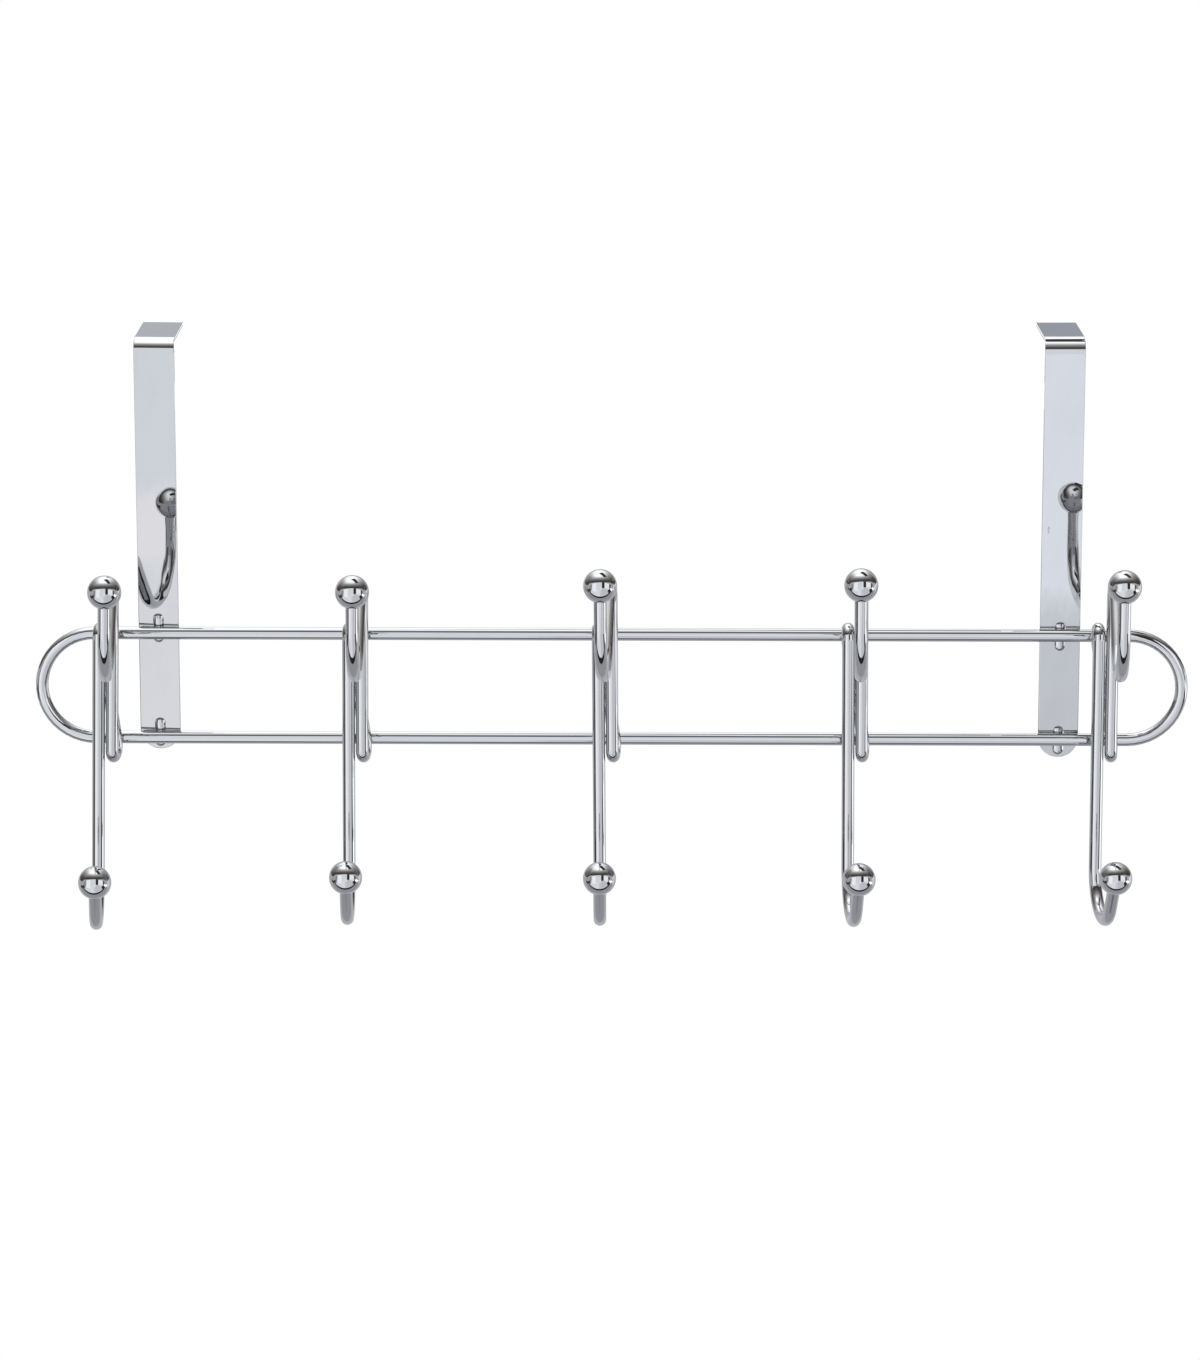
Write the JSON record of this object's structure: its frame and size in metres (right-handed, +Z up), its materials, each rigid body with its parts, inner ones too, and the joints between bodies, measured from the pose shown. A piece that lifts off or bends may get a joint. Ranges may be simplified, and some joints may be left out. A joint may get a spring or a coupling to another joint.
{
  "type": "over door hook rack",
  "caption": "Chromed steel rack on bent straps that hook over the top of a door, with ball-tipped double wire hooks welded across a long looped rail frame.",
  "frame": {"origin": "on the front top edge of the door, above the middle of the rails: the straps' backs lie on y = 0 and the undersides of their flanges on z = 0", "axes": "+Z up, -Y out of the door towards the hooks, +X along the rails to the right seen from the front"},
  "size_m": [0.4569, 0.1347, 0.2304],
  "materials": {
    "chrome_wire": "bright chrome plate on round steel wire",
    "chrome_strap": "bright chrome plate on flat steel strip",
    "chrome_ball": "bright chrome plate on steel balls"
  },
  "bodies": {
    "root": {"rail_frame": "chrome_wire", "strap_left": "chrome_strap", "strap_right": "chrome_strap", "hook_wire_1": "chrome_wire", "upper_ball_1": "chrome_ball", "lower_ball_1": "chrome_ball", "hook_wire_2": "chrome_wire", "upper_ball_2": "chrome_ball", "lower_ball_2": "chrome_ball", "hook_wire_3": "chrome_wire", "upper_ball_3": "chrome_ball", "lower_ball_3": "chrome_ball", "hook_wire_4": "chrome_wire", "upper_ball_4": "chrome_ball", "lower_ball_4": "chrome_ball", "hook_wire_5": "chrome_wire", "upper_ball_5": "chrome_ball", "lower_ball_5": "chrome_ball"}
  },
  "joints": []
}
